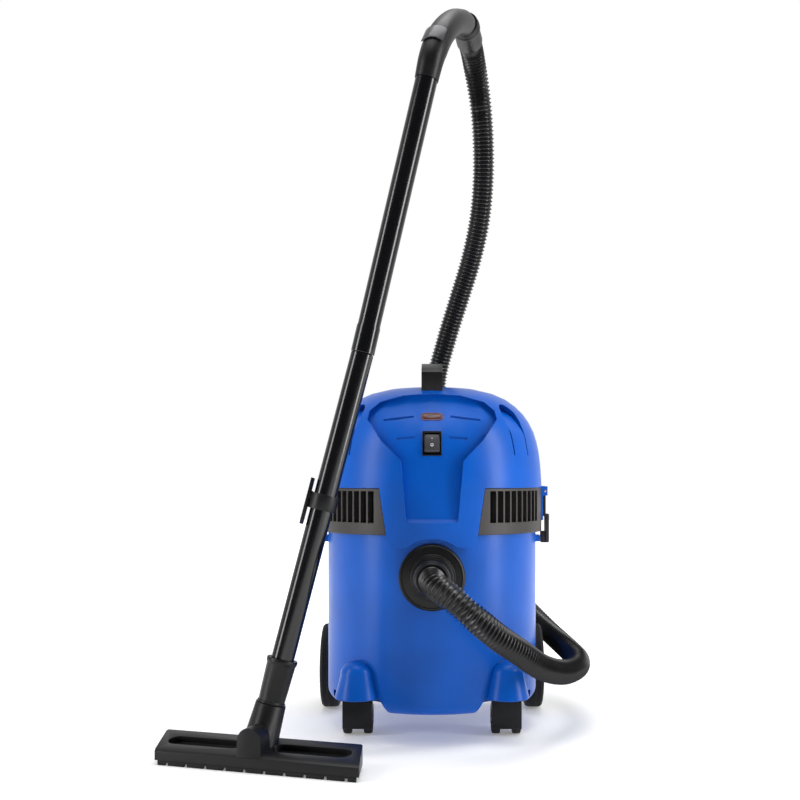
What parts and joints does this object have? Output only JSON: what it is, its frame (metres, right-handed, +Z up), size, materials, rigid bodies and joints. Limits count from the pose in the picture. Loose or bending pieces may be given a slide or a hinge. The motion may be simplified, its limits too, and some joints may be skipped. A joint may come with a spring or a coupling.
{
  "type": "wet and dry vacuum cleaner",
  "caption": "Upright wet and dry shop vacuum: round blue tank on castors and rear wheels, lift-off motor head, ribbed hose, two-piece wand and wide floor nozzle.",
  "frame": {"origin": "middle of the footprint of the vacuum with its wand and nozzle, on the floor, measured without the free hose", "axes": "+Z up, -Y the front with the switch and the hose inlet, +X to the right seen from the front"},
  "size_m": [0.6336, 0.6394, 1.1236],
  "materials": {
    "blue_shell": "satin moulded polypropylene",
    "black_plastic": "fine-grained black moulding",
    "gloss_black": "polished black",
    "grey_plastic": "warm dark grey moulding",
    "rubber": "matt black",
    "steel": "plain turned",
    "filter_paper": "pleated paper",
    "float_plastic": "natural moulded",
    "red_window": "clear dark red",
    "hose_black": "flexible ribbed tube"
  },
  "bodies": {
    "root": {"tank": "blue_shell", "inlet_flange": "black_plastic", "rear_axle": "steel", "nozzle_foot": "black_plastic", "nozzle_front_strip": "rubber", "nozzle_rear_strip": "rubber", "hose": "hose_black"},
    "inlet_cuff": {"inlet_cuff": "black_plastic"},
    "castor_left": {"castor_left_stem": "steel", "castor_left_hood": "black_plastic", "castor_left_axle": "steel"},
    "castor_left_wheels": {"castor_left_wheel_a": "rubber", "castor_left_wheel_b": "rubber"},
    "castor_right": {"castor_right_stem": "steel", "castor_right_hood": "black_plastic", "castor_right_axle": "steel"},
    "castor_right_wheels": {"castor_right_wheel_a": "rubber", "castor_right_wheel_b": "rubber"},
    "rear_wheel_left": {"rear_tyre_left": "rubber", "rear_hub_left": "black_plastic", "rear_cap_left": "grey_plastic"},
    "rear_wheel_right": {"rear_tyre_right": "rubber", "rear_hub_right": "black_plastic", "rear_cap_right": "grey_plastic"},
    "head": {"head_shell": "blue_shell", "vent_band": "grey_plastic", "carry_handle": "black_plastic", "switch_bezel": "gloss_black", "filter_window": "red_window", "cord_gland": "black_plastic", "motor_plate": "black_plastic", "tank_gasket": "rubber", "motor_can": "steel", "float_cage": "black_plastic", "latch_left_pin": "steel", "latch_right_pin": "steel", "motor_screw_1": "steel", "motor_screw_2": "steel", "motor_screw_3": "steel", "motor_screw_4": "steel"},
    "rotor": {"motor_rotor": "steel"},
    "rocker": {"rocker_switch": "grey_plastic"},
    "float": {"float": "float_plastic"},
    "filter": {"filter_cartridge": "filter_paper", "filter_cap": "black_plastic"},
    "latch_left": {"latch_left_arm": "black_plastic", "latch_left_lever": "grey_plastic"},
    "latch_right": {"latch_right_arm": "black_plastic", "latch_right_lever": "grey_plastic"},
    "wand": {"nozzle_sleeve": "black_plastic", "lower_tube": "gloss_black", "parking_hook": "black_plastic", "upper_tube": "gloss_black", "handle_tube": "black_plastic"},
    "air_slider": {"air_slider": "grey_plastic"},
    "hose_cuff": {"hose_cuff": "black_plastic"}
  },
  "joints": [
    {"name": "head_lift", "type": "slide", "parent": "root", "child": "head", "axis": [0, 0, 1], "range_m": [0, 0.25]},
    {"name": "latch_left_swing", "type": "hinge", "parent": "head", "child": "latch_left", "pos_m": [-0.08298, 0.0761, 0.37], "axis": [0, 1, 0], "range_deg": [0, 75]},
    {"name": "latch_right_swing", "type": "hinge", "parent": "head", "child": "latch_right", "pos_m": [0.27422, 0.0761, 0.37], "axis": [0, -1, 0], "range_deg": [0, 75]},
    {"name": "rocker_press", "type": "hinge", "parent": "head", "child": "rocker", "pos_m": [0.09562, -0.06816, 0.43988], "axis": [1, 0, 0], "range_deg": [0, 12]},
    {"name": "rotor_spin", "type": "hinge", "parent": "head", "child": "rotor", "pos_m": [0.09562, 0.0761, 0.4], "axis": [0, 0, 1], "continuous": true},
    {"name": "float_lift", "type": "slide", "parent": "head", "child": "float", "axis": [0, 0, 1], "range_m": [0, 0.03]},
    {"name": "filter_pull", "type": "slide", "parent": "head", "child": "filter", "axis": [0, 0, -1], "range_m": [0, 0.09]},
    {"name": "castor_left_swivel", "type": "hinge", "parent": "root", "child": "castor_left", "pos_m": [-0.01738, -0.0119, 0.05], "axis": [0, 0, 1], "continuous": true},
    {"name": "castor_left_roll", "type": "hinge", "parent": "castor_left", "child": "castor_left_wheels", "pos_m": [-0.01738, 0.0021, 0.0215], "axis": [1, 0, 0], "continuous": true},
    {"name": "castor_right_swivel", "type": "hinge", "parent": "root", "child": "castor_right", "pos_m": [0.20862, -0.0119, 0.05], "axis": [0, 0, 1], "continuous": true},
    {"name": "castor_right_roll", "type": "hinge", "parent": "castor_right", "child": "castor_right_wheels", "pos_m": [0.20862, 0.0021, 0.0215], "axis": [1, 0, 0], "continuous": true},
    {"name": "rear_left_roll", "type": "hinge", "parent": "root", "child": "rear_wheel_left", "pos_m": [0.09562, 0.2011, 0.07025], "axis": [1, 0, 0], "continuous": true},
    {"name": "rear_right_roll", "type": "hinge", "parent": "root", "child": "rear_wheel_right", "pos_m": [0.09562, 0.2011, 0.07025], "axis": [1, 0, 0], "continuous": true},
    {"name": "inlet_cuff_swivel", "type": "hinge", "parent": "root", "child": "inlet_cuff", "pos_m": [0.09562, -0.1139, 0.247], "axis": [0, 1, 0], "continuous": true},
    {"name": "wand_twist", "type": "hinge", "parent": "root", "child": "wand", "pos_m": [-0.12688, -0.1619, 0.08], "axis": [0.2478, 0.0557, 0.9672], "range_deg": [-20, 20], "deforming": ["hose"]},
    {"name": "air_slide", "type": "slide", "parent": "wand", "child": "air_slider", "axis": [0.2623, 0.5187, 0.8137], "range_m": [0, 0.008]},
    {"name": "hose_cuff_swivel", "type": "hinge", "parent": "wand", "child": "hose_cuff", "pos_m": [0.14862, 0.0501, 1.102], "axis": [0.1635, 0.9812, -0.1022], "continuous": true}
  ]
}
